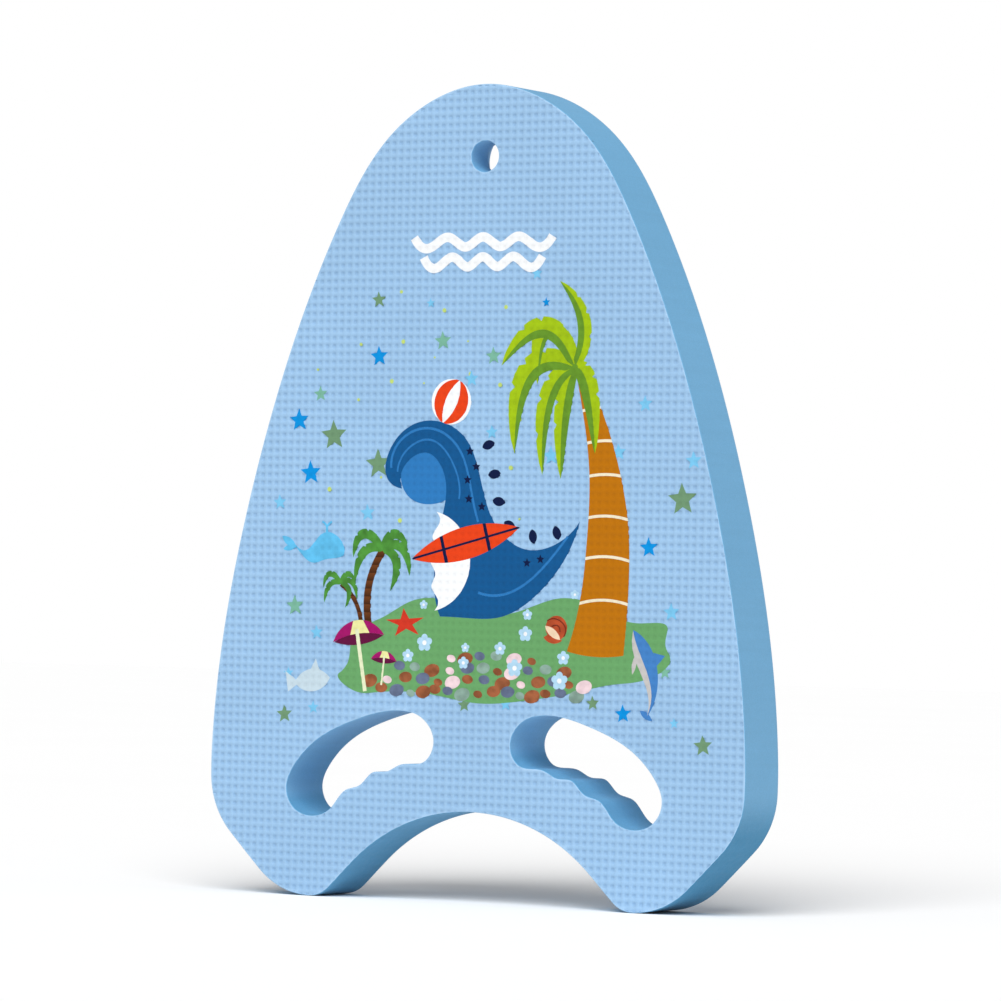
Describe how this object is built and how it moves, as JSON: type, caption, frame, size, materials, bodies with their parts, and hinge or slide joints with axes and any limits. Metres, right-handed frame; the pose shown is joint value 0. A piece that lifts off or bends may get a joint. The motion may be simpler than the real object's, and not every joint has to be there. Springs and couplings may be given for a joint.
{
  "type": "kickboard float",
  "caption": "Flat foam swim kickboard with a rounded nose, two finger-grip hand holes, an arched foot and a hanging hole.",
  "frame": {"origin": "middle of the foot, where the two lobes stand on the ground, halfway through the thickness", "axes": "+Z along the length to the nose, +Y out of the plain back, +X across the board to the right seen from the printed front"},
  "size_m": [0.3236, 0.037, 0.43],
  "materials": {
    "foam_core": "matte",
    "foam_facing": "matte",
    "ink_white": "satin",
    "ink_pale_blue": "satin",
    "ink_navy": "satin",
    "ink_orange_red": "satin",
    "ink_pale_yellow": "satin",
    "ink_magenta": "satin",
    "ink_palm_green": "satin",
    "ink_dark_brown": "satin",
    "ink_leaf_yellow": "satin",
    "ink_leaf_green": "satin",
    "ink_cream": "satin",
    "ink_trunk_orange": "satin",
    "ink_deep_blue": "satin",
    "ink_mid_blue": "satin",
    "ink_red": "satin",
    "ink_shell_brown": "satin",
    "ink_shell_lip": "satin",
    "ink_shell_line": "satin",
    "ink_dark_magenta": "satin",
    "ink_pole": "satin",
    "ink_grey": "satin",
    "ink_sea_blue": "satin",
    "ink_sky_blue": "satin",
    "ink_ice": "satin",
    "ink_slate": "satin",
    "ink_pink": "satin",
    "ink_brown": "satin",
    "ink_sage": "satin",
    "ink_island_green": "satin",
    "ink_star_green": "satin",
    "ink_star_sage": "satin",
    "ink_star_blue": "satin",
    "ink_star_cyan": "satin",
    "ink_lime": "satin"
  },
  "bodies": {
    "root": {"core": "foam_core", "front_facing": "foam_facing", "back_facing": "foam_facing", "print_ripples": "ink_white", "print_flower_hearts": "ink_white", "print_flower_petals": "ink_pale_blue", "print_surf_lines": "ink_navy", "print_surfboard": "ink_orange_red", "print_parasol_poles": "ink_pole", "print_parasol_undersides": "ink_dark_magenta", "print_shell_mouth": "ink_shell_lip", "print_shell_whorl": "ink_shell_line", "print_parasol_stripes": "ink_pale_yellow", "print_parasol_canopies": "ink_magenta", "print_small_palm_leaves": "ink_palm_green", "print_small_palm_trunks": "ink_dark_brown", "print_palm_leaves_lit": "ink_leaf_yellow", "print_palm_leaves_shaded": "ink_leaf_green", "print_trunk_bands": "ink_cream", "print_palm_trunk": "ink_trunk_orange", "print_ball_panels": "ink_white", "print_ball": "ink_orange_red", "print_spray": "ink_navy", "print_wave_foam": "ink_white", "print_wave_streaks": "ink_mid_blue", "print_wave": "ink_deep_blue", "print_wave_hollow": "ink_mid_blue", "print_starfish": "ink_red", "print_shell": "ink_shell_brown", "print_dolphin_belly": "ink_grey", "print_dolphin": "ink_sea_blue", "print_whale": "ink_sky_blue", "print_fish": "ink_ice", "print_pebbles_slate": "ink_slate", "print_pebbles_pink": "ink_pink", "print_pebbles_brown": "ink_brown", "print_pebbles_sage": "ink_sage", "print_island": "ink_island_green", "print_stars_green": "ink_star_green", "print_stars_sage": "ink_star_sage", "print_stars_blue": "ink_star_blue", "print_stars_cyan": "ink_star_cyan", "print_dots": "ink_lime"}
  },
  "joints": []
}
